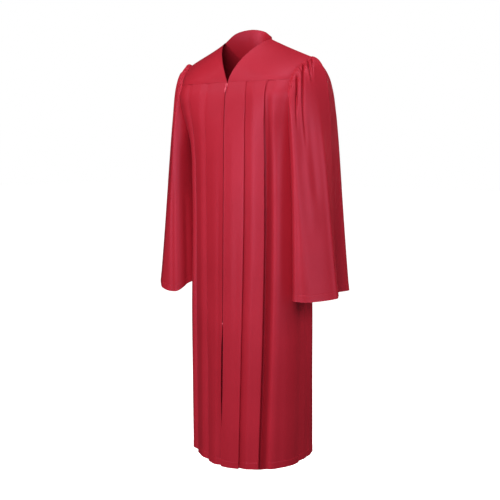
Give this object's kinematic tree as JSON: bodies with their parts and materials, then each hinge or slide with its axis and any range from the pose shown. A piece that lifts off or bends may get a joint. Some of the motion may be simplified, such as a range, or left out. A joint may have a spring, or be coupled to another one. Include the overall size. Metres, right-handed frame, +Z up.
{
  "type": "graduation gown",
  "caption": "Worn graduation gown with a pleated front, yoke, V neck, centre zip and gathered bell sleeves, kept hollow and open.",
  "frame": {"origin": "between the two shoulder points of the neckline, where the wearer's shoulders carry the gown", "axes": "+Z up, the front faces -Y, the wearer's left is +X"},
  "size_m": [0.6881, 0.3563, 1.416],
  "materials": {
    "gown_cloth": "matt satin woven polyester",
    "zip_cloth": "woven zip tape with nylon chain",
    "zip_metal": "enamelled to match the cloth"
  },
  "bodies": {
    "gown": {"front_left": "gown_cloth", "front_right": "gown_cloth", "front_yoke_left": "gown_cloth", "front_yoke_right": "gown_cloth", "back_yoke": "gown_cloth", "back_panel": "gown_cloth", "sleeve_left": "gown_cloth", "sleeve_right": "gown_cloth", "zip_tape": "zip_cloth", "zip_slider": "zip_metal", "zip_bottom_stop": "zip_metal"},
    "pull_tab": {"zip_pull": "zip_metal"}
  },
  "joints": [
    {"name": "pull_tab_hinge", "type": "hinge", "parent": "gown", "child": "pull_tab", "pos_m": [0, -0.13575, -0.14739], "axis": [-1, 0, 0], "range_deg": [0, 150]}
  ]
}
